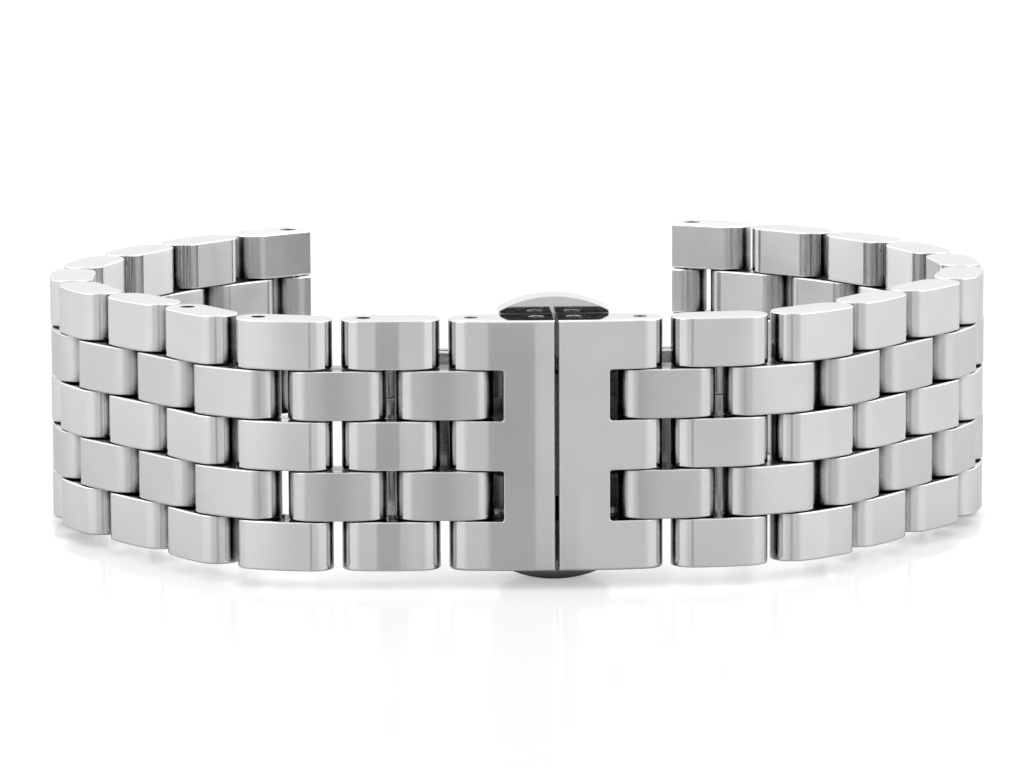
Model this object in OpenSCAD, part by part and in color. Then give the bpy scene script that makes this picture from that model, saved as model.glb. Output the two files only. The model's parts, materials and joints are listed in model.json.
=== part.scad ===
// Link watch bracelet, closed into a loop and standing on its edge.
// Millimetres. The folding clasp faces -Y, every pin runs along Z, the lower push button touches z = 0.

/* [Band] */
// Width of one of the five link rows with its share of the gap
row_pitch = 3.6; // [3.2:0.1:4.4]
// Gap between two neighbouring rows
row_gap = 0.06; // [0.04:0.01:0.12]
// Distance between the two pins of one link
pin_step = 3.8; // [3.6:0.05:4.2]
// Gap between two links of the same row; the link ends are fully round
end_gap = 0.6; // [0.4:0.05:0.8]
// How far the outer face of a link swells at mid length
link_swell = 0.12; // [0.06:0.01:0.2]
// Broken edge along both sides of every link
edge = 0.12; // [0.06:0.01:0.2]

/* [Pins] */
// Radius of every pin
pin_r = 0.5; // [0.4:0.05:0.6]
// Play of a pin in the piece that holds it, on the radius
hold_play = 0.02; // [0.01:0.01:0.03]
// Play of a pin in the piece that turns on it, on the radius
run_play = 0.05; // [0.03:0.01:0.08]
// Depth of the visible pin ends below the side of the band
pin_recess = 0.15; // [0.05:0.05:0.3]
// Metal left over the hidden ends of the fixed link pins
blind_wall = 0.8; // [0.5:0.1:1.2]

/* [Left half of the loop] */
// Direction of link 1 against the clasp line, degrees
left_turn_1 = 2.5; // [0:0.5:6]
// Direction of link 3
left_turn_3 = 1; // [0:0.5:6]
// Direction of link 4
left_turn_4 = 17; // [12:0.5:22]
// Direction of link 6
left_turn_6 = 57.5; // [53:0.5:60]
// Direction of link 9
left_turn_9 = 54; // [50:0.5:58]
// Direction of link 12
left_turn_12 = 91; // [87:0.5:95]
// Direction of link 14
left_turn_14 = 110; // [106:0.5:114]
// Direction of the end link
left_turn_20 = 144.5; // [140:0.5:150]

/* [Right half of the loop] */
// Direction of link 1 against the clasp line, degrees
right_turn_1 = 4; // [0:0.5:6]
// Direction of link 2
right_turn_2 = 8; // [5:0.5:11]
// Direction of link 5
right_turn_5 = 54; // [50:0.5:58]
// Direction of link 8
right_turn_8 = 53; // [50:0.5:58]
// Direction of link 12
right_turn_12 = 98; // [94:0.5:102]
// Direction of link 15
right_turn_15 = 118; // [114:0.5:122]
// Direction of the end link
right_turn_20 = 153; // [148:0.5:158]

/* [End links] */
// Length from the last pin to the straight end
end_len = 4.4; // [4.2:0.05:4.8]
// Distance from the straight end to the strap bar hole
bar_in = 1.05; // [0.95:0.05:1.15]
// Radius of the strap bar hole
bar_r = 0.65; // [0.5:0.05:0.7]
// Depth of the grooves that carry the row lines across
groove = 0.3; // [0.2:0.05:0.5]

/* [Clasp covers] */
// Distance from the clasp middle to the first link pin
first_pin = 6; // [5.8:0.1:6.6]
// Gap between the two covers
cover_gap = 0.24; // [0.1:0.02:0.4]
// How far the outer face of a cover swells
cover_swell = 0.38; // [0.3:0.01:0.44]
// Distance from the clasp middle to the crest of the swell
crest_x = 1; // [0.8:0.1:1.4]
// Distance from the clasp middle to the bottom of the link slots
slot_at = 3.75; // [3.6:0.05:3.85]
// Corner radius of the link slots
slot_r = 0.2; // [0.1:0.05:0.4]
// Distance from the clasp middle to the pin between cover and arm
pivot_x = 1.33; // [1.25:0.02:1.45]
// Height of that pin behind the line of the link pins
pivot_y = 0.2; // [0.1:0.05:0.3]
// Outer wall left over the pocket for the arm
pocket_wall = 0.65; // [0.5:0.05:0.7]
// Length of the pocket from the clasp middle
pocket_len = 3.2; // [3:0.05:3.3]

/* [Clasp arms] */
// Thickness of an arm
arm_t = 0.9; // [0.7:0.05:1]
// Gap between the arm and the inner face of the covers
arm_gap = 0.15; // [0.1:0.01:0.25]
// Radius of the arm's eye round the cover pin
eye_r = 1; // [0.85:0.05:1.05]
// Distance from the clasp middle to the free edge of an arm
arm_from = 0.95; // [0.8:0.05:1.1]
// Half width of an arm and of the base plate outside the push buttons
plate_half = 6; // [5.8:0.05:6.2]
// Distance from the clasp middle to where an arm widens
wide_from = 4.3; // [4.25:0.05:4.6]
// Half width of the window in an arm
window_half = 2.85; // [2:0.05:3.2]
// Corner radius of that window
window_r = 0.6; // [0.3:0.1:1]
// Distance from the clasp middle to the hinge pins
hinge_x = 11.6; // [11:0.1:12.4]
// Depth of the hinge pins behind the inner face of the links
hinge_deep = 4; // [3.8:0.1:4.4]
// Radius of the hinge knuckles
knuckle_r = 1; // [0.85:0.05:1.1]
// Distance from the hinge pin to the end of the full width of the plates
knuckle_len = 3; // [2.6:0.1:3.4]
// Half width of the middle knuckle
knuckle_half = 2.5; // [2:0.1:3]
// Side gap between the knuckles of arm and base plate
knuckle_gap = 0.1; // [0.05:0.01:0.2]
// Side gap between an arm and its pocket
arm_side = 0.1; // [0.05:0.01:0.2]
// Length of a catch stud along the arm
stud_len = 0.9; // [0.7:0.05:1]
// Half width of a catch stud
stud_half = 1.4; // [1.1:0.05:1.6]

/* [Base plate and lock block] */
// Thickness of the base plate
base_t = 0.85; // [0.7:0.05:1.1]
// Gap between the arms and the lock block at the clasp middle
block_gap = 0.4; // [0.35:0.05:0.6]
// Depth of the lock block
block_deep = 1.3; // [1.2:0.05:1.5]
// Half length of the lock block along the band
block_x = 3.45; // [3.4:0.05:3.7]
// Half width of the lock block
block_z = 4.4; // [4.3:0.05:4.5]
// Front wall of the lock block
block_wall = 0.25; // [0.2:0.01:0.3]

/* [Push buttons] */
// Half length of a button along the band
button_x = 3.9; // [3.4:0.1:4.2]
// How far a button stands out of the band's side at its middle
button_out = 1.2; // [0.9:0.05:1.6]
// How far it stands out at its two ends
button_flank = 0.2; // [0.1:0.05:0.4]
// Travel of a button
button_travel = 0.65; // [0.4:0.05:0.7]
// Half width of the button's slide plate
slide_half = 1.1; // [0.9:0.05:1.15]
// Half length of the hook at the end of the slide plate
hook_half = 2.8; // [2.5:0.05:2.85]
// Width of the hook
hook_w = 0.9; // [0.7:0.05:0.95]
// Play round the slide plates
slide_play = 0.05; // [0.03:0.01:0.06]

/* [Button springs] */
// Distance of a spring from the clasp middle
spring_x = 2.3; // [2.2:0.05:2.4]
// Radius of a spring hole
spring_hole_r = 0.45; // [0.4:0.01:0.47]
// Depth of a spring hole in the button
spring_hole_deep = 1.4; // [1:0.1:1.8]
// Depth of a spring hole in the lock block
spring_seat_deep = 0.9; // [0.6:0.05:0.95]
// Radius of the spring wire
wire_r = 0.09; // [0.07:0.01:0.1]
// Number of coils
coils = 6; // [4:1:8]

/* [Hidden] */
half_t = (pin_step - end_gap) / 2;
brick_w = row_pitch - row_gap;
band_w = 5 * row_pitch - row_gap;
slot_w = row_pitch + row_gap;
pin_half = band_w / 2 - pin_recess;
blind_half = band_w / 2 - blind_wall;
last = 19;
bar_at = end_len - bar_in;
// Length of every cutting body, longer than any piece it cuts
cut = 30;

arm_half = 1.5 * row_pitch - 0.15 - arm_side;
pocket_half = 1.5 * row_pitch - 0.15;
arm_y = half_t + arm_gap + arm_t / 2;
hinge_y = half_t + hinge_deep;
arm_rise = hinge_y - arm_y;
arm_r = (hinge_x * hinge_x + arm_rise * arm_rise) / (2 * arm_rise);
block_y = half_t + arm_gap + arm_t + block_gap;
base_y = block_y + block_deep;
base_rise = hinge_y - base_y - base_t / 2;
base_r = (hinge_x * hinge_x + base_rise * base_rise) / (2 * base_rise);
full_to = hinge_x - knuckle_len;
stud_x = pivot_x + 0.17;
slide_t = (block_deep - block_wall - 3 * slide_play) / 2;
slide_y1 = block_y + block_wall + slide_play;
slide_y2 = slide_y1 + slide_t + slide_play;
room_x = hook_half + 0.15;
room_z = stud_half + 0.05 + hook_w + button_travel + 0.05;
spring_y = block_y + block_wall + (block_deep - block_wall) / 2;
cap_in = 1.5 * row_pitch + 0.6;
cap_top = 2.5 * row_pitch + button_out;
cap_arc = ((button_out - button_flank) * (button_out - button_flank) + button_x * button_x)
    / (2 * (button_out - button_flank));
mid_z = cap_top;

polished = [0.87, 0.88, 0.9];
satin = [0.68, 0.69, 0.71];
inner = [0.6, 0.61, 0.63];

// Direction of each link, counted from the clasp, by side (-1 left, 1 right)
left_turns = [
    [0, left_turn_1], [2, left_turn_3], [3, left_turn_4], [5, left_turn_6],
    [8, left_turn_9], [11, left_turn_12], [13, left_turn_14], [19, left_turn_20]
];
right_turns = [
    [0, right_turn_1], [1, right_turn_2], [4, right_turn_5], [7, right_turn_8],
    [11, right_turn_12], [14, right_turn_15], [19, right_turn_20]
];
function turn(s, k) = lookup(k, s < 0 ? left_turns : right_turns);
// Place of each pin, measured away from the clasp middle and inwards
function pin(s, k) = k == 0 ? [first_pin, 0]
    : pin(s, k - 1) + pin_step * [cos(turn(s, k - 1)), sin(turn(s, k - 1))];

// Radius and half angle of the swell that runs into round ends a apart from its middle
function swell_r(a, b) = (a * a + (half_t + b) * (half_t + b) - half_t * half_t) / (2 * b);
function swell_angle(a, b) = asin(a / (swell_r(a, b) - half_t));

// Reach of one link in direction u, for centring the loop on the origin
function link_reach(s, k, u) =
    let (
        a = pin(s, k),
        b = pin(s, k + 1),
        n = [sin(turn(s, k)), -cos(turn(s, k))],
        r = swell_r(pin_step / 2, link_swell),
        c = (a + b) / 2 - n * (r - half_t - link_swell)
    )
    u * n > cos(swell_angle(pin_step / 2, link_swell)) ? c * u + r : max(a * u, b * u) + half_t;
function end_reach(s, u) =
    let (
        d = [cos(turn(s, last)), sin(turn(s, last))],
        n = [d[1], -d[0]],
        e = pin(s, last) + end_len * d
    )
    max(e * u + half_t * abs(n * u), pin(s, last) * u + half_t);
function reach(s, u) = max(end_reach(s, u), max([for (k = [0:last - 1]) link_reach(s, k, u)]));
shift_x = (reach(-1, [1, 0]) - reach(1, [1, 0])) / 2;
shift_y = (half_t + cover_swell - max(reach(-1, [0, 1]), reach(1, [0, 1]))) / 2;

module place(s = 1) {
    translate([shift_x, shift_y, mid_z])
        rotate([0, s < 0 ? 180 : 0, 0])
            children();
}

module at_link(s, k) {
    place(s)
        translate([pin(s, k)[0], pin(s, k)[1], 0])
            rotate([0, 0, turn(s, k)])
                children();
}

module hole(r, h) {
    cylinder(r = r, h = h, center = true, $fn = 48);
}

// Round end of a link with broken side edges
module round_end(w) {
    rotate_extrude($fn = 64)
        polygon([
            [0, -w / 2], [half_t - edge, -w / 2], [half_t, edge - w / 2],
            [half_t, w / 2 - edge], [half_t - edge, w / 2], [0, w / 2]
        ]);
}

// Straight inner part of a link, broken edges on its inner face
module inner_bar(len, w, depth = half_t / 3) {
    rotate([90, 0, 90])
        linear_extrude(height = len)
            polygon([
                [-depth, -w / 2], [half_t - edge, -w / 2], [half_t, edge - w / 2],
                [half_t, w / 2 - edge], [half_t - edge, w / 2], [-depth, w / 2]
            ]);
}

// Straight bar of full thickness, all four long edges broken
module full_bar(len, w) {
    rotate([90, 0, 90])
        linear_extrude(height = len)
            polygon([
                [edge - half_t, -w / 2], [half_t - edge, -w / 2], [half_t, edge - w / 2],
                [half_t, w / 2 - edge], [half_t - edge, w / 2], [edge - half_t, w / 2],
                [-half_t, w / 2 - edge], [-half_t, edge - w / 2]
            ]);
}

// Swelling outer part; runs from its middle back by an angle and forward to the round end
module swell(a, b, w, back, depth = half_t) {
    r = swell_r(a, b);
    translate([0, r - half_t - b, 0])
        rotate([0, 0, -90 - back])
            rotate_extrude(angle = back + swell_angle(a, b), $fn = 360)
                polygon([
                    [r - depth, -w / 2], [r - edge, -w / 2], [r, edge - w / 2],
                    [r, w / 2 - edge], [r - edge, w / 2], [r - depth, w / 2]
                ]);
}

module brick() {
    round_end(brick_w);
    translate([pin_step, 0, 0])
        round_end(brick_w);
    inner_bar(pin_step, brick_w);
    translate([pin_step / 2, 0, 0])
        swell(pin_step / 2, link_swell, brick_w, swell_angle(pin_step / 2, link_swell));
}

// Link of the second and fourth rows: two bricks that turn on the pins
module pair_link() {
    for (z = [-1, 1])
        translate([0, 0, z * row_pitch])
            difference() {
                brick();
                hole(pin_r + run_play, 2 * row_pitch);
                translate([pin_step, 0, 0])
                    hole(pin_r + run_play, 2 * row_pitch);
            }
}

// Link of the first, third and fifth rows: three bricks held on two pins
// open_far: its far pin goes right through and can be pushed out
module triple_link(open_far) {
    for (z = [-2, 0, 2])
        difference() {
            translate([0, 0, z * row_pitch])
                brick();
            hole(pin_r + hold_play, 2 * blind_half + 2 * hold_play);
            translate([pin_step, 0, 0])
                hole(pin_r + hold_play, open_far ? 2 * band_w : 2 * blind_half + 2 * hold_play);
        }
    hole(pin_r, 2 * blind_half);
    if (!open_far)
        translate([pin_step, 0, 0])
            hole(pin_r, 2 * blind_half);
}

// End link: one piece with row grooves, a straight end and a strap bar hole
module end_link() {
    difference() {
        union() {
            for (z = [-2, 0, 2])
                translate([0, 0, z * row_pitch]) {
                    round_end(brick_w);
                    full_bar(end_len, brick_w);
                    translate([pin_step / 2, 0, 0])
                        swell(pin_step / 2, link_swell, brick_w, swell_angle(pin_step / 2, link_swell));
                }
            for (z = [-1, 1])
                translate([pin_step, 0, z * row_pitch]) {
                    round_end(brick_w);
                    full_bar(end_len - pin_step, brick_w);
                }
            translate([pin_step - half_t + 0.7, groove - half_t, groove - band_w / 2])
                cube([end_len - pin_step + half_t - 0.7 - groove, 2 * (half_t - groove), band_w - 2 * groove]);
        }
        hole(pin_r + hold_play, 2 * blind_half + 2 * hold_play);
        translate([bar_at, 0, 0])
            hole(bar_r, 2 * band_w);
        translate([end_len, -half_t - 1, -band_w])
            cube([half_t + 2, 2 * half_t + 2, 2 * band_w]);
    }
    hole(pin_r, 2 * blind_half);
}

// Prism along Y with round corners, from x = from to x = to
module round_slot(from, to, w, r) {
    rotate([90, 0, 0])
        linear_extrude(height = cut, center = true) {
            translate([from + r, -w / 2])
                square([to - from - 2 * r, w]);
            translate([from, r - w / 2])
                square([to - from, w - 2 * r]);
            for (x = [from + r, to - r], z = [r - w / 2, w / 2 - r])
                translate([x, z])
                    circle(r = r, $fn = 32);
        }
}

// Clasp cover: one plate over the full width, three fingers round the first link pin
module cover() {
    r = swell_r(first_pin - crest_x, cover_swell);
    lip = crest_x - cover_gap / 2;
    lip_y = r - half_t - cover_swell - sqrt(r * r - lip * lip);
    difference() {
        union() {
            translate([first_pin, 0, 0])
                round_end(band_w);
            inner_bar(first_pin, band_w, 0.8 * half_t);
            translate([crest_x, 0, 0])
                swell(first_pin - crest_x, cover_swell, band_w, 3, half_t / 2);
        }
        translate([cover_gap / 2 - 5, -5, -band_w])
            cube([5, 10, 2 * band_w]);
        translate([(cover_gap + edge) / 2, lip_y + edge / 2, 0])
            rotate([0, 0, 45])
                translate([-3 * edge, -3 * edge, -band_w])
                    cube([3 * edge, 6 * edge, 2 * band_w]);
        for (z = [-1, 1])
            translate([0, 0, z * row_pitch])
                round_slot(slot_at, 2 * first_pin, slot_w, slot_r);
        translate([-1, pocket_wall - half_t, -pocket_half])
            cube([1 + pocket_len, 5, 2 * pocket_half]);
        translate([first_pin, 0, 0])
            hole(pin_r + hold_play, 2 * band_w);
        translate([pivot_x, pivot_y, 0])
            hole(pin_r + hold_play, 2 * band_w);
    }
}

// Piece of a curved plate from x = from to x = to, centred on z
module curved_plate(r, y, t, from, to, w) {
    translate([0, y + r, 0])
        rotate([0, 0, asin(from / r) - 90])
            rotate_extrude(angle = asin(to / r) - asin(from / r), $fn = 360)
                translate([r - t / 2, -w / 2])
                    square([t, w]);
}

// Folding arm: eye under the cover, curved plate with a window, catch stud and two outer knuckles
module arm() {
    side_w = plate_half - knuckle_half - knuckle_gap;
    side_z = plate_half - side_w / 2;
    difference() {
        union() {
            translate([pivot_x, pivot_y, 0])
                hole(eye_r, 2 * arm_half);
            translate([arm_from, pivot_y, -arm_half])
                cube([1.2, arm_y - pivot_y, 2 * arm_half]);
            difference() {
                curved_plate(arm_r, arm_y, arm_t, arm_from, hinge_x, 2 * plate_half);
                for (z = [-1, 1])
                    translate([0, 0, z * (arm_half + cut / 2)])
                        cube([2 * wide_from, cut, cut], center = true);
                translate([full_to + cut / 2, 0, 0])
                    cube([cut, cut, 2 * (knuckle_half + knuckle_gap)], center = true);
                round_slot(pocket_len, full_to - 1, 2 * window_half, window_r);
            }
            for (z = [-1, 1])
                translate([hinge_x, hinge_y, z * side_z])
                    hole(knuckle_r, side_w);
            difference() {
                translate([stud_x, arm_y, -stud_half])
                    cube([stud_len, base_y - 0.08 - arm_y, 2 * stud_half]);
                for (z = [-1, 1])
                    translate([stud_x - 1, block_y + block_wall, z * stud_half - 0.12])
                        cube([3, slide_t + 0.2, 0.24]);
            }
        }
        translate([pivot_x, pivot_y, 0])
            hole(pin_r + run_play, 3 * band_w);
        translate([hinge_x, hinge_y, 0])
            hole(pin_r + run_play, 3 * band_w);
    }
}

// Base plate against the wrist, a middle knuckle at both ends
module base() {
    difference() {
        union() {
            difference() {
                curved_plate(base_r, base_y + base_t / 2, base_t, -hinge_x, hinge_x, 2 * plate_half);
                for (x = [-1, 1], z = [-1, 1])
                    translate([x * (full_to + cut / 2), 0, z * (knuckle_half + cut / 2)])
                        cube(cut, center = true);
            }
            for (x = [-1, 1])
                translate([x * hinge_x, hinge_y, 0])
                    hole(knuckle_r, 2 * knuckle_half);
        }
        for (x = [-1, 1])
            translate([x * hinge_x, hinge_y, 0])
                hole(pin_r + hold_play, 3 * band_w);
    }
}

// Lock block on the base plate: room for both slide plates, the studs and the springs
module block() {
    difference() {
        translate([-block_x, block_y, -block_z])
            cube([2 * block_x, block_deep + 0.5, 2 * block_z]);
        translate([0, base_y + base_r + base_t / 2, 0])
            cylinder(r = base_r + base_t / 2, h = cut, center = true, $fn = 360);
        translate([-room_x, block_y + block_wall, -room_z])
            cube([2 * room_x, 3, 2 * room_z]);
        translate([-slide_half - slide_play, block_y + block_wall, -band_w])
            cube([2 * (slide_half + slide_play), 3, 2 * band_w]);
        for (x = [-1, 1]) {
            translate([x * (stud_x + stud_len / 2 + 0.28), block_y, 0])
                cube([stud_len + 0.86, 2, 2 * stud_half + 0.3], center = true);
            for (z = [-1, 1])
                translate([x * spring_x, spring_y, z * block_z])
                    hole(spring_hole_r, 2 * spring_seat_deep);
        }
    }
}

// Push button: rounded cap, slide plate and cross hook; y is the layer of its slide plate
module button(y) {
    difference() {
        intersection() {
            translate([-button_x, half_t + arm_gap, cap_in])
                cube([2 * button_x, base_y - half_t - arm_gap - 0.1, cap_top]);
            translate([0, 0, cap_top - cap_arc])
                rotate([90, 0, 0])
                    cylinder(r = cap_arc, h = cut, center = true, $fn = 180);
        }
        for (x = [-1, 1])
            translate([x * spring_x, spring_y, cap_in])
                hole(spring_hole_r, 2 * spring_hole_deep);
    }
    translate([-slide_half, y, -stud_half - 0.05 - hook_w])
        cube([2 * slide_half, slide_t, cap_in + stud_half + hook_w + 0.3]);
    translate([-hook_half, y, -stud_half - 0.05 - hook_w])
        cube([2 * hook_half, slide_t, hook_w]);
}

// Pair of coil springs between the lock block and a button
module spring_pair() {
    from = block_z - spring_seat_deep;
    len = cap_in + spring_hole_deep - from;
    for (x = [-1, 1])
        translate([x * spring_x, spring_y, from])
            linear_extrude(height = len, twist = 360 * coils, slices = 12 * coils, convexity = 10)
                translate([spring_hole_r - 0.06 - wire_r, 0])
                    circle(r = wire_r, $fn = 6);
}

module through_pin(s, x, y) {
    place(s)
        translate([x, y, 0])
            hole(pin_r, 2 * pin_half);
}

module hinge_pin(s) {
    place(s)
        translate([hinge_x, hinge_y, 0])
            hole(pin_r, 2 * plate_half - 0.2);
}

module base_plate() color(satin) place() base();
module lock_block() color(inner) place() block();
module hinge_pin_left() color(inner) hinge_pin(-1);
module hinge_pin_right() color(inner) hinge_pin(1);
module button_top() color(polished) place() button(slide_y1);
module button_bottom() color(polished) place(-1) button(slide_y2);
module springs_top() color(inner) place() spring_pair();
module springs_bottom() color(inner) place(-1) spring_pair();
module arm_left() color(satin) place(-1) arm();
module arm_right() color(satin) place(1) arm();
module cover_left() color(polished) place(-1) cover();
module cover_right() color(polished) place(1) cover();
module pivot_pin_left() color(inner) through_pin(-1, pivot_x, pivot_y);
module pivot_pin_right() color(inner) through_pin(1, pivot_x, pivot_y);
module cover_pin_left() color(inner) through_pin(-1, first_pin, 0);
module cover_pin_right() color(inner) through_pin(1, first_pin, 0);
module link_pin_left_o1() color(inner) through_pin(-1, pin(-1, 2)[0], pin(-1, 2)[1]);
module link_pin_left_o2() color(inner) through_pin(-1, pin(-1, 4)[0], pin(-1, 4)[1]);
module link_pin_left_o3() color(inner) through_pin(-1, pin(-1, 6)[0], pin(-1, 6)[1]);
module left_e1() color(satin) at_link(-1, 0) pair_link();
module left_o1() color(polished) at_link(-1, 1) triple_link(true);
module left_e2() color(satin) at_link(-1, 2) pair_link();
module left_o2() color(polished) at_link(-1, 3) triple_link(true);
module left_e3() color(satin) at_link(-1, 4) pair_link();
module left_o3() color(polished) at_link(-1, 5) triple_link(true);
module left_e4() color(satin) at_link(-1, 6) pair_link();
module left_o4() color(polished) at_link(-1, 7) triple_link(false);
module left_e5() color(satin) at_link(-1, 8) pair_link();
module left_o5() color(polished) at_link(-1, 9) triple_link(false);
module left_e6() color(satin) at_link(-1, 10) pair_link();
module left_o6() color(polished) at_link(-1, 11) triple_link(false);
module left_e7() color(satin) at_link(-1, 12) pair_link();
module left_o7() color(polished) at_link(-1, 13) triple_link(false);
module left_e8() color(satin) at_link(-1, 14) pair_link();
module left_o8() color(polished) at_link(-1, 15) triple_link(false);
module left_e9() color(satin) at_link(-1, 16) pair_link();
module left_o9() color(polished) at_link(-1, 17) triple_link(false);
module left_e10() color(satin) at_link(-1, 18) pair_link();
module left_end() color(polished) at_link(-1, 19) end_link();
module right_e1() color(satin) at_link(1, 0) pair_link();
module right_o1() color(polished) at_link(1, 1) triple_link(false);
module right_e2() color(satin) at_link(1, 2) pair_link();
module right_o2() color(polished) at_link(1, 3) triple_link(false);
module right_e3() color(satin) at_link(1, 4) pair_link();
module right_o3() color(polished) at_link(1, 5) triple_link(false);
module right_e4() color(satin) at_link(1, 6) pair_link();
module right_o4() color(polished) at_link(1, 7) triple_link(false);
module right_e5() color(satin) at_link(1, 8) pair_link();
module right_o5() color(polished) at_link(1, 9) triple_link(false);
module right_e6() color(satin) at_link(1, 10) pair_link();
module right_o6() color(polished) at_link(1, 11) triple_link(false);
module right_e7() color(satin) at_link(1, 12) pair_link();
module right_o7() color(polished) at_link(1, 13) triple_link(false);
module right_e8() color(satin) at_link(1, 14) pair_link();
module right_o8() color(polished) at_link(1, 15) triple_link(false);
module right_e9() color(satin) at_link(1, 16) pair_link();
module right_o9() color(polished) at_link(1, 17) triple_link(false);
module right_e10() color(satin) at_link(1, 18) pair_link();
module right_end() color(polished) at_link(1, 19) end_link();

base_plate();
lock_block();
hinge_pin_left();
hinge_pin_right();
button_top();
button_bottom();
springs_top();
springs_bottom();
arm_left();
arm_right();
cover_left();
cover_right();
pivot_pin_left();
pivot_pin_right();
cover_pin_left();
cover_pin_right();
link_pin_left_o1();
link_pin_left_o2();
link_pin_left_o3();
left_e1();
left_o1();
left_e2();
left_o2();
left_e3();
left_o3();
left_e4();
left_o4();
left_e5();
left_o5();
left_e6();
left_o6();
left_e7();
left_o7();
left_e8();
left_o8();
left_e9();
left_o9();
left_e10();
left_end();
right_e1();
right_o1();
right_e2();
right_o2();
right_e3();
right_o3();
right_e4();
right_o4();
right_e5();
right_o5();
right_e6();
right_o6();
right_e7();
right_o7();
right_e8();
right_o8();
right_e9();
right_o9();
right_e10();
right_end();
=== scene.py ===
"""Looks of the link watch bracelet: smooth links, steel finishes, pale floor, light and camera."""

import json
from math import asin, cos, pi, radians, sin

import bpy
from mathutils import Matrix, Vector
from mathutils.geometry import tessellate_polygon


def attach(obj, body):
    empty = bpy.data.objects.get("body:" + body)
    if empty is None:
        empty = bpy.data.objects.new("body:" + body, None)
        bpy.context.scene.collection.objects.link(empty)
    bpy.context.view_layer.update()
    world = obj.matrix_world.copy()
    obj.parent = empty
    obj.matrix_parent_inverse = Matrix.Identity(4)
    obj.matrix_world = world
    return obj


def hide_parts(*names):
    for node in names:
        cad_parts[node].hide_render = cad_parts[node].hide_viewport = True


MM = 0.001

# Pair links on each side of the clasp
PAIR_LINKS = 10

# Sizes of the links, the same as in the part's source
ROW_PITCH = 3.6 * MM
ROW_GAP = 0.06 * MM
PIN_STEP = 3.8 * MM
END_GAP = 0.6 * MM
LINK_SWELL = 0.12 * MM
PIN_R = 0.5 * MM
HOLD_PLAY = 0.02 * MM
RUN_PLAY = 0.05 * MM
BLIND_WALL = 0.8 * MM
HALF_T = (PIN_STEP - END_GAP) / 2
BRICK_W = ROW_PITCH - ROW_GAP
BLIND_HALF = 2.5 * ROW_PITCH - ROW_GAP / 2 - BLIND_WALL

# Radius of the bricks' round side edges, and the broken edge at a pin's ends
EDGE_R = 0.13 * MM
PIN_BREAK = 0.08 * MM

# Where a bore ends that runs right through: past every brick
THROUGH = 1.0

# How finely the smooth links are drawn
SWELL_STEPS = 12
ROUND_STEPS = 26
EDGE_STEPS = 4
BORE_STEPS = 24

# The quad in a brick's ring that makes its flat inner face
INNER_FACE = SWELL_STEPS + ROUND_STEPS

# Links whose far pin can be pushed out
OPEN_LINKS = ("left_o1", "left_o2", "left_o3")

# A link's finishes, in the order of its materials
PLAIN_FINISH, PIN_FINISH, INSIDE_FINISH = 0, 1, 2

# Tones of the steel
POLISHED_TONE = (0.71, 0.715, 0.72)
SATIN_TONE = (0.62, 0.625, 0.63)
PALE_TONE = (0.84, 0.845, 0.85)
DARK_TONE = (0.25, 0.253, 0.256)

# Least and most roughness of polished steel
POLISH = (0.03, 0.06)
BUTTON_POLISH = (0.05, 0.09)

# What wear does to a steel: added roughness, shares of its tone and the depth of marks; one share is
# painted shade instead, the darkest the colour gets deep in gaps
MARK_ROUGHNESS = 0.12
EDGE_ROUGHNESS = 0.05
DULLEST = 0.97
CLEAREST = 1.02
RUBBED = 1.06
GAP_SHADE_TONE = 0.06
MARK_DEPTH = 0.001 * MM

# The map that runs along the band
BAND_MAP = "BandMap"

# Floor
BUTTON_TIP_Y = -24.3 * MM
FLOOR_LEAN = radians(1.35)
FLOOR_HALF = 6.0
FLOOR_TONE = (0.86, 0.86, 0.86, 1)
FLOOR_GLOW = 0.41

# Room: what metal mirrors of it, and the plain glow that it gives
ROOM = {"Bright": 1.02, "Front": 0.9, "Side": 1.75}
ROOM_GLOW = 0.55
WHITE = (1, 1, 1, 1)

# Soft lamps: place, size and power
SOFT_LAMPS = {
    "soft_top": ((0.0, 0.1, 0.6), 0.7, 0.8),
    "soft_left": ((-0.6, -0.3, 0.35), 0.5, 0.5),
    "soft_right": ((0.6, -0.3, 0.35), 0.5, 0.5),
}

# Dark shapes in millimetres: left, right, low, high, and how far the corners round in x and z
DARK_SHAPES = {
    "dark_shape_low": (-86, 6, 19.5, 58, 18, 1.6),
    "dark_shape_high": (-86, 40, 60, 150, 10, 10),
}
DARK_SHAPE_Y = -470 * MM
DARK_SHAPE_TONE = (0.03, 0.03, 0.032, 1)
CORNER_STEPS = 8

# Camera of the photograph
CAMERA_AT = Vector((-18.73, -454.5, 78.6)) * MM
CAMERA_HEADING = radians(2.3)
CAMERA_DIP = radians(8.58)
CAMERA_ROLL = radians(-0.22)
LENS_LENGTH = 214.5
LENS_SHIFT = 0.0044
SENSOR_WIDTH = 36.0


# Frame
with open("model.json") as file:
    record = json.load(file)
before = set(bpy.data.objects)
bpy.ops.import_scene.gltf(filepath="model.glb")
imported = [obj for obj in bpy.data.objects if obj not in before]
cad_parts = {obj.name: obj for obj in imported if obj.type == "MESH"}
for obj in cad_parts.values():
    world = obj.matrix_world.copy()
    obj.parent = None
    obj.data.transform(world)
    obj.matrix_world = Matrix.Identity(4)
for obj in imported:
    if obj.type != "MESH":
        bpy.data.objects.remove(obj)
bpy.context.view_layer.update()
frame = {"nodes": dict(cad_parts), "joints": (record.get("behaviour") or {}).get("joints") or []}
pin_places = {j["child"]: Vector(j["pos_m"]) for j in frame["joints"]}


# Node helpers
def fill(tree, given, target):
    """Links another node's output to an input, or sets the input to a plain value."""
    if isinstance(given, bpy.types.NodeSocket):
        tree.links.new(given, target)
    else:
        target.default_value = given


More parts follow.
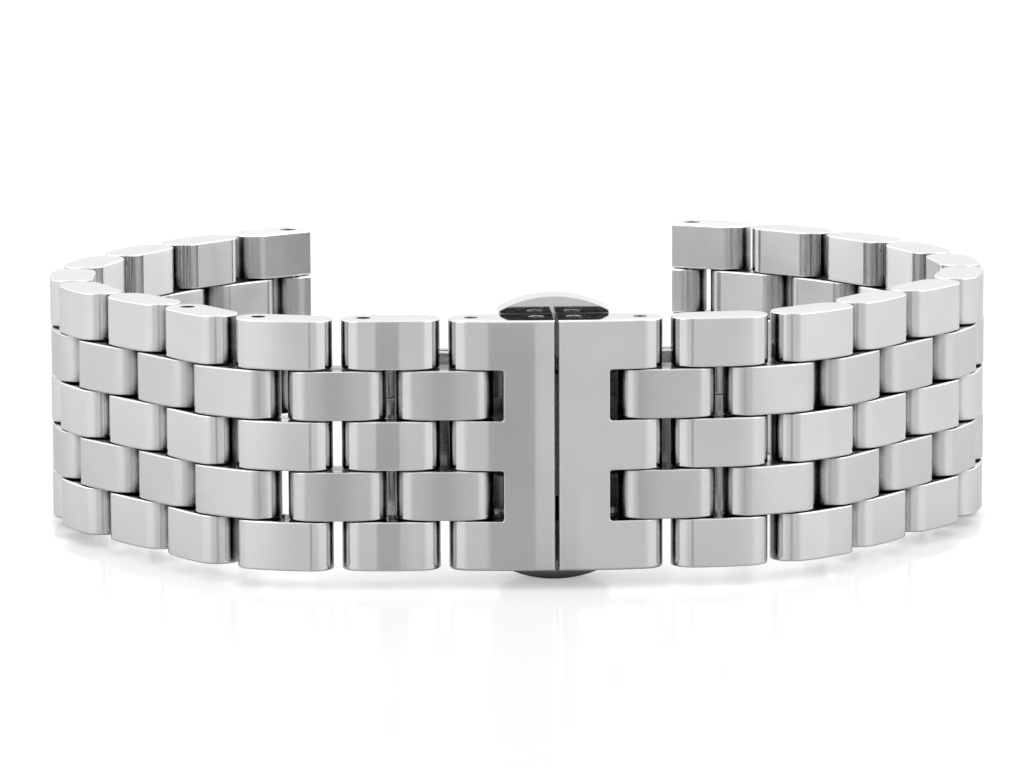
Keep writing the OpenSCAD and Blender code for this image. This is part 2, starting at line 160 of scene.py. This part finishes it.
def put(tree, kind, *given, **settings):
    """Adds a node. given fills its inputs in order; settings are its own, or inputs with _ for a space."""
    made = tree.nodes.new(kind)
    for name, value in settings.items():
        if hasattr(made, name):
            setattr(made, name, value)
        else:
            fill(tree, value, made.inputs[name.replace("_", " ")])
    for value, target in zip(given, made.inputs):
        fill(tree, value, target)
    return made


def calc(tree, operation, *given, clamp=False):
    """Result of a Math node."""
    return put(tree, "ShaderNodeMath", *given, operation=operation, use_clamp=clamp).outputs[0]


def ranged(tree, value, low, high, **settings):
    """Rises from 0 at low to 1 at high, unless the settings say otherwise."""
    made = put(tree, "ShaderNodeMapRange", Value=value, From_Min=low, From_Max=high, **settings)
    return made.outputs[0]


def mix(tree, kind, share, first, second):
    """first where the share is 0, second where it is 1."""
    return put(tree, "ShaderNodeMix", data_type=kind, Factor=share, A=first, B=second).outputs["Result"]


def noise(tree, place, detail, roughness):
    """Cloudy values about one unit of place across."""
    made = put(tree, "ShaderNodeTexNoise", Vector=place, Scale=1.0, Detail=detail, Roughness=roughness)
    return made.outputs["Fac"]


def stretched(tree, place, length, width):
    """The place measured in lengths along X and widths the other two ways, so that noise draws lines."""
    parts = put(tree, "ShaderNodeSeparateXYZ", place).outputs
    shares = [
        calc(tree, "DIVIDE", parts["X"], length),
        calc(tree, "DIVIDE", parts["Y"], width),
        calc(tree, "DIVIDE", parts["Z"], width),
    ]
    return put(tree, "ShaderNodeCombineXYZ", *shares).outputs[0]


def emptied(owner):
    """The node tree of a material or a world, with nothing in it."""
    owner.use_nodes = True
    owner.node_tree.nodes.clear()
    return owner.node_tree


def group(name, takes, gives):
    """A shader group, from its inputs with their usual values, None for a vector, and its outputs."""
    tree = bpy.data.node_groups.new(name, "ShaderNodeTree")
    for label, usual in takes.items():
        kind = "NodeSocketVector" if usual is None else "NodeSocketFloat"
        socket = tree.interface.new_socket(label, in_out="INPUT", socket_type=kind)
        if usual is not None:
            socket.default_value = usual
    for label in gives:
        tree.interface.new_socket(label, in_out="OUTPUT", socket_type="NodeSocketFloat")
    return tree, tree.nodes.new("NodeGroupInput").outputs, tree.nodes.new("NodeGroupOutput").inputs


def placed(tree, made_group, **settings):
    """Outputs of a group that is put in a material with its inputs filled by name."""
    return put(tree, "ShaderNodeGroup", node_tree=made_group, **settings).outputs


# Effects that several steels share
def brushed_grain():
    """Fine parallel lines, long one way and thin the other two."""
    takes = {"Place": None, "Length": 4 * MM, "Width": 0.05 * MM}
    tree, given, out = group("brushed_grain", takes, ["Height", "Shade"])
    place = stretched(tree, given["Place"], given["Length"], given["Width"])
    lines = noise(tree, place, detail=3.0, roughness=0.6)
    fill(tree, lines, out["Height"])
    fill(tree, ranged(tree, lines, 0.3, 0.7), out["Shade"])
    return tree


def hairline_scratches():
    """Sparse thin marks in two directions, as handling leaves them."""
    takes = {"Place": None, "Length": 3 * MM, "Width": 0.06 * MM}
    tree, given, out = group("hairline_scratches", takes, ["Marks"])
    found = []
    for turn in (0.5, -0.9):
        turned = put(
            tree, "ShaderNodeVectorRotate", given["Place"],
            rotation_type="EULER_XYZ", Rotation=(turn, 0.4 * turn, turn),
        )
        place = stretched(tree, turned.outputs[0], given["Length"], given["Width"])
        lines = noise(tree, place, detail=1.0, roughness=0.5)
        found.append(ranged(tree, lines, 0.68, 0.76))
    fill(tree, calc(tree, "MAXIMUM", *found), out["Marks"])
    return tree


def handled_sheen():
    """Slow change over the surface, between two values."""
    takes = {"Place": None, "Patch Size": 3 * MM, "Least": 0.05, "Most": 0.1}
    tree, given, out = group("handled_sheen", takes, ["Value"])
    size = put(tree, "ShaderNodeCombineXYZ", *[given["Patch Size"]] * 3)
    place = put(tree, "ShaderNodeVectorMath", given["Place"], size.outputs[0], operation="DIVIDE")
    cloud = noise(tree, place.outputs[0], detail=2.0, roughness=0.5)
    value = ranged(tree, cloud, 0.35, 0.65, To_Min=given["Least"], To_Max=given["Most"])
    fill(tree, value, out["Value"])
    return tree


def rubbed_edges():
    """1 on edges that hands and sleeves rub, 0 on the faces between them."""
    tree, given, out = group("rubbed_edges", {"Reach": 0.1 * MM, "Contrast": 6.0}, ["Edge"])
    softened = put(tree, "ShaderNodeBevel", samples=4, Radius=given["Reach"]).outputs[0]
    facing = put(tree, "ShaderNodeNewGeometry").outputs["Normal"]
    likeness = put(tree, "ShaderNodeVectorMath", softened, facing, operation="DOT_PRODUCT")
    apart = calc(tree, "SUBTRACT", 1.0, likeness.outputs["Value"])
    fill(tree, calc(tree, "MULTIPLY", apart, given["Contrast"], clamp=True), out["Edge"])
    return tree


def gap_painted_shade():
    """1 on open faces, falling to the darkest value deep in gaps and near other things, where it paints
    shade into the colour.
    """
    tree, given, out = group("gap_painted_shade", {"Reach": 1.2 * MM, "Darkest": 0.1}, ["Clean"])
    openness = put(tree, "ShaderNodeAmbientOcclusion", samples=6, Distance=given["Reach"])
    unshaded = ranged(tree, openness.outputs["AO"], 0.3, 0.8, To_Min=given["Darkest"], To_Max=1.0)
    fill(tree, unshaded, out["Clean"])
    return tree


GRAIN = brushed_grain()
MARKS = hairline_scratches()
SHEEN = handled_sheen()
EDGES = rubbed_edges()
GAP_SHADE = gap_painted_shade()


# Steels
def shade(tone, share):
    """The tone as an opaque colour, darker or lighter by the share."""
    return (*[min(1.0, part * share) for part in tone], 1)


def steel(name, tone, gloss, grain=None, marks=0.35, along=None, spread=0.0, rounding=0.0, shade_reach=1.2 * MM):
    """A worn steel.

    gloss is the least and most roughness, and grain the length, width and depth of its brush lines.
    marks is how strong the scratches are, and spread the anisotropy.
    along names the map that runs with the band; without it the part's own axes are taken.
    rounding is the radius at which sharp edges catch the light, and the last argument how far from a
    neighbour the painted shade reaches.
    """
    material = bpy.data.materials.new(name)
    tree = emptied(material)
    if along:
        place = put(tree, "ShaderNodeUVMap", uv_map=along).outputs[0]
    else:
        place = put(tree, "ShaderNodeTexCoord").outputs["Object"]
    scratches = placed(tree, MARKS, Place=place, Length=3.5 * MM, Width=0.07 * MM)["Marks"]
    rubbed = placed(tree, EDGES, Reach=0.12 * MM, Contrast=5.0)["Edge"]

    sheen = placed(tree, SHEEN, Place=place, Patch_Size=3.5 * MM, Least=gloss[0], Most=gloss[1])["Value"]
    scuffed = calc(tree, "MULTIPLY_ADD", scratches, MARK_ROUGHNESS * marks, sheen)
    rough = calc(tree, "MULTIPLY_ADD", rubbed, EDGE_ROUGHNESS, scuffed, clamp=True)

    if grain:
        length, width, depth = grain
        lines = placed(tree, GRAIN, Place=place, Length=length, Width=width)
        change, height, strength = lines["Shade"], lines["Height"], 1.0
    else:
        cloud = placed(tree, SHEEN, Place=place, Patch_Size=6 * MM, Least=0.0, Most=1.0)
        change, height, strength, depth = cloud["Value"], scratches, marks, MARK_DEPTH
    varied = mix(tree, "RGBA", change, shade(tone, DULLEST), shade(tone, CLEAREST))
    worn = mix(tree, "RGBA", rubbed, varied, shade(tone, RUBBED))
    # Painted shade: the colour is darkened deep in gaps and close to other things
    unshaded = placed(tree, GAP_SHADE, Reach=shade_reach, Darkest=GAP_SHADE_TONE)["Clean"]
    colour = put(tree, "ShaderNodeVectorMath", worn, operation="SCALE", Scale=unshaded).outputs[0]

    relief = put(tree, "ShaderNodeBump", invert=True, Strength=strength, Distance=depth, Height=height)
    if rounding:
        softened = put(tree, "ShaderNodeBevel", samples=6, Radius=rounding)
        fill(tree, softened.outputs[0], relief.inputs["Normal"])

    surface = put(
        tree, "ShaderNodeBsdfPrincipled",
        Metallic=1.0, Base_Color=colour, Roughness=rough, Normal=relief.outputs[0],
    )
    if spread:
        surface.inputs["Anisotropic"].default_value = spread
        surface.inputs["Anisotropic Rotation"].default_value = 0.25
        if along:
            lay = put(tree, "ShaderNodeTangent", direction_type="UV_MAP", uv_map=along)
            fill(tree, lay.outputs[0], surface.inputs["Tangent"])
    put(tree, "ShaderNodeOutputMaterial", Surface=surface.outputs[0])
    return material


polished_links = steel("polished_steel_links", POLISHED_TONE, POLISH, marks=0.3, along=BAND_MAP)
satin_links = steel(
    "satin_steel_links", SATIN_TONE, (0.2, 0.27),
    grain=(4 * MM, 0.05 * MM, 0.0015 * MM), along=BAND_MAP, spread=0.5,
)
inner_links = steel(
    "satin_steel_inner", PALE_TONE, (0.3, 0.36),
    grain=(4 * MM, 0.06 * MM, 0.001 * MM), along=BAND_MAP,
)
pin_steel = steel("turned_pin_steel", DARK_TONE, (0.18, 0.26), marks=0.6, shade_reach=0.4 * MM)
polished_covers = steel("polished_steel_covers", POLISHED_TONE, POLISH, marks=0.3, rounding=0.13 * MM)
polished_ends = steel("polished_steel_ends", PALE_TONE, (0.14, 0.2), marks=0.3, rounding=0.1 * MM)
# The two button steels differ in their painted shade: the lower one's long reach darkens it with the shade
# of the floor beneath
upper_button = steel(
    "polished_steel_upper_button", POLISHED_TONE, BUTTON_POLISH,
    marks=0.4, rounding=0.1 * MM, shade_reach=0.5 * MM,
)
lower_button = steel(
    "polished_steel_lower_button", POLISHED_TONE, BUTTON_POLISH,
    marks=0.4, rounding=0.1 * MM, shade_reach=2.5 * MM,
)
plate_steel = steel(
    "satin_steel_plates", SATIN_TONE, (0.24, 0.32),
    grain=(4 * MM, 0.06 * MM, 0.002 * MM), rounding=0.1 * MM,
)
spring_steel = steel("spring_steel", DARK_TONE, (0.2, 0.3), marks=0.6)


# Smooth links
class Shell:
    """Faces with a normal and a place on the band's map at each corner: flat stays flat, round smooth."""

    def __init__(self):
        self.points = []
        self.faces = []
        self.normals = []
        self.places = []
        self.finishes = []

    def add(self, points):
        first = len(self.points)
        self.points.extend(points)
        return list(range(first, len(self.points)))

    def face(self, corners, normals, places, finish):
        self.faces.append(corners)
        self.normals.extend(normals)
        self.places.extend(places)
        self.finishes.append(finish)

    def ring(self, low, high, finish=PLAIN_FINISH, other=None):
        """Quads between two closed rings of corners, normals and places.

        The places have one entry more, for the seam. other gives quads, by number, their own finish.
        """
        finishes = other or {}
        low_corners, low_normals, low_places = low
        high_corners, high_normals, high_places = high
        count = len(low_corners)
        for i in range(count):
            j = (i + 1) % count
            self.face(
                (low_corners[i], low_corners[j], high_corners[j], high_corners[i]),
                (low_normals[i], low_normals[j], high_normals[j], high_normals[i]),
                (low_places[i], low_places[i + 1], high_places[i + 1], high_places[i]),
                finishes.get(i, finish),
            )

    def cap(self, loops, up, finish=PLAIN_FINISH):
        """Flat face between an outer loop and the loops of its holes; up is 1 or -1."""
        corners = [i for loop in loops for i in loop]
        flat = [[Vector(self.points[i]) for i in loop] for loop in loops]
        for numbers in tessellate_polygon(flat):
            ids = [corners[number] for number in numbers]
            p, q, r = (Vector(self.points[i]) for i in ids)
            if (q - p).cross(r - p).z * up < 0:
                ids.reverse()
            self.face(tuple(ids), [(0, 0, up)] * 3, [self.points[i][:2] for i in ids], finish)

    def piece(self, name, node, place, materials, slot):
        """Makes the object, set in place, standing for its node and riding on the body of that name."""
        mesh = bpy.data.meshes.new(name)
        mesh.from_pydata([place @ Vector(p) for p in self.points], [], self.faces)
        turned = place.to_3x3()
        band = mesh.uv_layers.new(name=BAND_MAP)
        band.uv.foreach_set("vector", [v for at in self.places for v in at])
        for material in materials:
            mesh.materials.append(material)
        mesh.polygons.foreach_set("material_index", self.finishes)
        mesh.polygons.foreach_set("use_smooth", [True] * len(self.faces))
        mesh.normals_split_custom_set([turned @ Vector(n) for n in self.normals])
        made = bpy.data.objects.new(name, mesh)
        bpy.context.scene.collection.objects.link(made)
        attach(made, node)
        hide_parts(node)


def arc(middle, radius, start, end, steps):
    """Round stretch of an outline as (point, normal); angle 0 faces outwards."""
    made = []
    for i in range(steps + 1):
        angle = start + (end - start) * i / steps
        normal = Vector((sin(angle), -cos(angle)))
        made.append((middle + radius * normal, normal))
    return made


def brick_outline():
    """Side outline of a link: two round ends, a swell that runs into both outside, a flat face inside."""
    reach = PIN_STEP / 2
    radius = HALF_T + (reach**2 + LINK_SWELL**2) / (2 * LINK_SWELL)
    half_angle = asin(reach / (radius - HALF_T))
    middle = Vector((reach, radius - HALF_T - LINK_SWELL))
    outer_face = arc(middle, radius, -half_angle, half_angle, SWELL_STEPS)
    far_end = arc(Vector((PIN_STEP, 0)), HALF_T, half_angle, pi, ROUND_STEPS)
    near_end = arc(Vector((0, 0)), HALF_T, pi, 2 * pi - half_angle, ROUND_STEPS)
    return outer_face + far_end[1:] + near_end[:-1]


def circle():
    """Corners of a circle with radius 1, once round."""
    turns = [2 * pi * i / BORE_STEPS for i in range(BORE_STEPS)]
    return [Vector((cos(turn), sin(turn))) for turn in turns]


def way_round(radius):
    """How far along the wall of a bore or pin each corner lies, with the seam's second entry."""
    return [2 * pi * radius * i / BORE_STEPS for i in range(BORE_STEPS + 1)]


def bore(shell, x, radius, low, high, low_open, high_open):
    """Wall of a pin bore; returns its low and high rims. A closed end gets a floor."""
    inward = [(-p.x, -p.y, 0) for p in circle()]
    rims = []
    walls = []
    for z in (low, high):
        rim = shell.add([(x + p.x * radius, p.y * radius, z) for p in circle()])
        rims.append(rim)
        walls.append((rim[::-1], inward[::-1], [(u, z) for u in way_round(radius)]))
    shell.ring(*walls)
    if not low_open:
        shell.cap([rims[0]], 1)
    if not high_open:
        shell.cap([rims[1]], -1)
    return rims


def brick_levels():
    """Heights of a brick's rings from its middle, how far each is set in, and its normals' tilt."""
    straight = BRICK_W / 2 - EDGE_R
    levels = []
    for side in (-1, 1):
        tilts = [side * pi / 2 * i / EDGE_STEPS for i in range(EDGE_STEPS + 1)]
        for tilt in tilts[::side]:
            levels.append((side * straight + EDGE_R * sin(tilt), EDGE_R * (1 - cos(tilt)), tilt))
    return levels


def brick(shell, z, bores):
    """One brick of a link, centred on z. A bore is (x, radius, low, high), with low and high as z."""
    outline = brick_outline()
    run = [0.0]
    for (p, _), (q, _) in zip(outline, outline[1:] + outline[:1]):
        run.append(run[-1] + (q - p).length)
    rings = []
    for level, inset, tilt in brick_levels():
        corners = shell.add([(*(p - n * inset), z + level) for p, n in outline])
        normals = [(n.x * cos(tilt), n.y * cos(tilt), sin(tilt)) for _, n in outline]
        rings.append((corners, normals, [(u, z + level) for u in run]))
    for low_ring, high_ring in zip(rings, rings[1:]):
        shell.ring(low_ring, high_ring, other={INNER_FACE: INSIDE_FINISH})

    bottom = z - BRICK_W / 2
    top = z + BRICK_W / 2
    bottom_loops = [rings[0][0]]
    top_loops = [rings[-1][0]]
    for x, radius, low, high in bores:
        if high <= bottom or low >= top:
            continue
        low_open = low <= bottom
        high_open = high >= top
        rims = bore(shell, x, radius, max(low, bottom), min(high, top), low_open, high_open)
        if low_open:
            bottom_loops.append(rims[0])
        if high_open:
            top_loops.append(rims[1])
    shell.cap(bottom_loops, -1)
    shell.cap(top_loops, 1)


def pin(shell, x):
    """A blind pin with broken ends."""
    narrow = PIN_R - PIN_BREAK
    straight = BLIND_HALF - PIN_BREAK
    rings = []
    for z, radius in ((-BLIND_HALF, narrow), (-straight, PIN_R), (straight, PIN_R), (BLIND_HALF, narrow)):
        rings.append(shell.add([(x + p.x * radius, p.y * radius, z) for p in circle()]))
    for k, slope in enumerate((-1, 0, 1)):
        tilt = slope * pi / 4
        normals = [(p.x * cos(tilt), p.y * cos(tilt), sin(tilt)) for p in circle()]
        places = [(u, k * MM) for u in way_round(PIN_R)]
        shell.ring((rings[k], normals, places), (rings[k + 1], normals, places), PIN_FINISH)
    shell.cap([rings[0]], -1, PIN_FINISH)
    shell.cap([rings[3]], 1, PIN_FINISH)


def pair_link():
    """Two satin bricks, which turn on the pins."""
    shell = Shell()
    radius = PIN_R + RUN_PLAY
    for z in (-ROW_PITCH, ROW_PITCH):
        brick(shell, z, [(x, radius, -THROUGH, THROUGH) for x in (0, PIN_STEP)])
    return shell


def triple_link(open_far):
    """Three polished bricks on two pins. With open_far the far pin is a piece of its own."""
    shell = Shell()
    radius = PIN_R + HOLD_PLAY
    blind = BLIND_HALF + HOLD_PLAY
    far = THROUGH if open_far else blind
    for z in (-2 * ROW_PITCH, 0, 2 * ROW_PITCH):
        brick(shell, z, [(0, radius, -blind, blind), (PIN_STEP, radius, -far, far)])
    pin(shell, 0)
    if not open_far:
        pin(shell, PIN_STEP)
    return shell


def link_place(near, far, side):
    """Matrix from a link's own axes (along the band, inwards, across) to the row frame."""
    along = (far - near).normalized()
    across = Vector((0, 0, side))
    inwards = across.cross(along)
    turned = Matrix((along, inwards, across)).transposed().to_4x4()
    return Matrix.Translation(near) @ turned


def chain(side_name):
    """Names of the links of one side, from the clasp to the end."""
    named = []
    for i in range(1, PAIR_LINKS + 1):
        named.append(f"{side_name}_e{i}")
        named.append(f"{side_name}_o{i}" if i < PAIR_LINKS else f"{side_name}_end")
    return named


LINK_KINDS = {
    "pair": (pair_link(), satin_links, "steel_satin"),
    "open": (triple_link(True), polished_links, "steel_polished"),
    "closed": (triple_link(False), polished_links, "steel_polished"),
}


def link_kind(name):
    """Pair links are named e1, e2 and so on, triple links o1, o2 and so on."""
    if "_e" in name:
        return "pair"
    return "open" if name in OPEN_LINKS else "closed"


def smooth_links(side_name, side):
    """Puts a smooth link in the place of each plain one, up to the straight end link."""
    names = chain(side_name)
    for name, following in zip(names, names[1:]):
        shell, outside, slot = LINK_KINDS[link_kind(name)]
        place = link_place(pin_places[name], pin_places[following], side)
        shell.piece(f"{name}_steel", name, place, [outside, pin_steel, inner_links], slot)


smooth_links("left", -1)
smooth_links("right", 1)


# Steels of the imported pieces, by the first of these words in the node's name
NODE_STEELS = {
    "pin": pin_steel,
    "springs": spring_steel,
    "arm": plate_steel,
    "base": plate_steel,
    "lock": plate_steel,
    "button_top": upper_button,
    "button_bottom": lower_button,
    "cover": polished_covers,
    "_end": polished_ends,
}

for node, packed in frame["nodes"].items():
    steels = [material for word, material in NODE_STEELS.items() if word in node]
    if steels:
        packed.data.materials.clear()
        packed.data.materials.append(steels[0])


# Floor, light and camera
def stage_piece(name, corners, material):
    """A flat piece of the stage with the given corners."""
    mesh = bpy.data.meshes.new(name)
    mesh.from_pydata(corners, [], [tuple(range(len(corners)))])
    mesh.materials.append(material)
    made = bpy.data.objects.new(name, mesh)
    bpy.context.scene.collection.objects.link(made)
    return made


def pale_floor():
    """Floor under the lower button's tip, tilted until it meets the band's back edge, a little glossy."""
    material = bpy.data.materials.new("pale_floor")
    tree = emptied(material)
    lit = put(tree, "ShaderNodeBsdfPrincipled", Base_Color=FLOOR_TONE, Roughness=0.13, IOR=1.12)
    seen = put(tree, "ShaderNodeLightPath").outputs["Is Camera Ray"]
    glow = put(tree, "ShaderNodeEmission", Color=WHITE, Strength=calc(tree, "MULTIPLY", seen, FLOOR_GLOW))
    both = put(tree, "ShaderNodeAddShader", lit.outputs[0], glow.outputs[0])
    put(tree, "ShaderNodeOutputMaterial", Surface=both.outputs[0])
    corners = []
    for x, y in ((-1, -1), (1, -1), (1, 1), (-1, 1)):
        rise = (y * FLOOR_HALF - BUTTON_TIP_Y) * sin(FLOOR_LEAN)
        corners.append((x * FLOOR_HALF, y * FLOOR_HALF, rise))
    stage_piece("pale_floor", corners, material)


def room_tone():
    """Brightness of the room by direction: brightest at the sides, dullest in front."""
    tree, given, out = group("room_tone", {"Direction": None, **ROOM}, ["Strength"])
    parts = put(tree, "ShaderNodeSeparateXYZ", given["Direction"]).outputs
    eased = {"interpolation_type": "SMOOTHSTEP"}
    ahead = ranged(tree, parts["Y"], -0.75, -0.95, **eased)
    low = ranged(tree, parts["Z"], 0.6, 0.35, **eased)
    aside = ranged(tree, calc(tree, "ABSOLUTE", parts["X"]), 0.3, 0.8, **eased)
    around = mix(tree, "FLOAT", aside, given["Bright"], given["Side"])
    patch = calc(tree, "MULTIPLY", ahead, low)
    fill(tree, mix(tree, "FLOAT", patch, around, given["Front"]), out["Strength"])
    return tree


def pale_room():
    """White room: plain white to the camera, lighter and duller sides to metal, an even glow on things."""
    world = bpy.data.worlds.new("pale_room")
    bpy.context.scene.world = world
    tree = emptied(world)
    way = put(tree, "ShaderNodeLightPath").outputs
    direction = put(tree, "ShaderNodeTexCoord").outputs["Generated"]
    tone = placed(tree, room_tone(), Direction=direction, **ROOM)["Strength"]
    plain = put(tree, "ShaderNodeBackground", Color=WHITE, Strength=ROOM_GLOW).outputs[0]
    mirrored = put(tree, "ShaderNodeBackground", Color=WHITE, Strength=tone).outputs[0]
    white = put(tree, "ShaderNodeBackground", Color=WHITE, Strength=1.0).outputs[0]
    clear = calc(tree, "MAXIMUM", way["Is Glossy Ray"], way["Is Transmission Ray"])
    shiny = put(tree, "ShaderNodeMixShader", clear, plain, mirrored).outputs[0]
    chosen = put(tree, "ShaderNodeMixShader", way["Is Camera Ray"], shiny, white).outputs[0]
    put(tree, "ShaderNodeOutputWorld", Surface=chosen)


def rounded_outline(left, right, low, high, round_x, round_z):
    """Outline of an upright shape with round corners, from millimetres."""
    middles = (
        (right - round_x, high - round_z),
        (left + round_x, high - round_z),
        (left + round_x, low + round_z),
        (right - round_x, low + round_z),
    )
    corners = []
    for quarter, (x, z) in enumerate(middles):
        for i in range(CORNER_STEPS + 1):
            turn = pi / 2 * (quarter + i / CORNER_STEPS)
            corners.append(((x + round_x * cos(turn)) * MM, DARK_SHAPE_Y, (z + round_z * sin(turn)) * MM))
    return corners


def dark_shapes():
    """Dark shapes at the camera's distance, which only the steel and the floor's gloss show."""
    material = bpy.data.materials.new("dark_shape")
    tree = emptied(material)
    dark = put(tree, "ShaderNodeEmission", Color=DARK_SHAPE_TONE, Strength=1.0)
    put(tree, "ShaderNodeOutputMaterial", Surface=dark.outputs[0])
    for name, sizes in DARK_SHAPES.items():
        shape = stage_piece(name, rounded_outline(*sizes), material)
        shape.visible_diffuse = False
        shape.visible_shadow = False
        shape.visible_camera = False


def soft_lamp(name, at, size, power):
    """A square lamp that faces the middle of the bracelet."""
    lamp = bpy.data.lights.new(name, "AREA")
    lamp.shape = "SQUARE"
    lamp.size = size
    lamp.energy = power
    made = bpy.data.objects.new(name, lamp)
    made.location = at
    made.rotation_mode = "QUATERNION"
    made.rotation_quaternion = (-Vector(at)).to_track_quat("-Z", "Y")
    bpy.context.scene.collection.objects.link(made)


def photo_camera():
    """Camera of the photograph: its place, its view direction and its small roll, in the row frame."""
    ahead = Vector((
        sin(CAMERA_HEADING) * cos(CAMERA_DIP),
        cos(CAMERA_HEADING) * cos(CAMERA_DIP),
        -sin(CAMERA_DIP),
    ))
    level = ahead.cross(Vector((0, 0, 1))).normalized()
    upright = level.cross(ahead)
    right = cos(CAMERA_ROLL) * level + sin(CAMERA_ROLL) * upright
    up = cos(CAMERA_ROLL) * upright - sin(CAMERA_ROLL) * level
    lens = bpy.data.cameras.new("photo_camera")
    lens.lens = LENS_LENGTH
    lens.sensor_width = SENSOR_WIDTH
    lens.shift_y = LENS_SHIFT
    lens.clip_start = 0.01
    lens.clip_end = 20.0
    camera = bpy.data.objects.new("photo_camera", lens)
    turned = Matrix((right, up, -ahead)).transposed().to_4x4()
    camera.matrix_world = Matrix.Translation(CAMERA_AT) @ turned
    bpy.context.scene.collection.objects.link(camera)
    bpy.context.scene.camera = camera


pale_floor()
pale_room()
dark_shapes()
for lamp_name, lamp_values in SOFT_LAMPS.items():
    soft_lamp(lamp_name, *lamp_values)
photo_camera()
bpy.context.scene.view_settings.view_transform = "Standard"
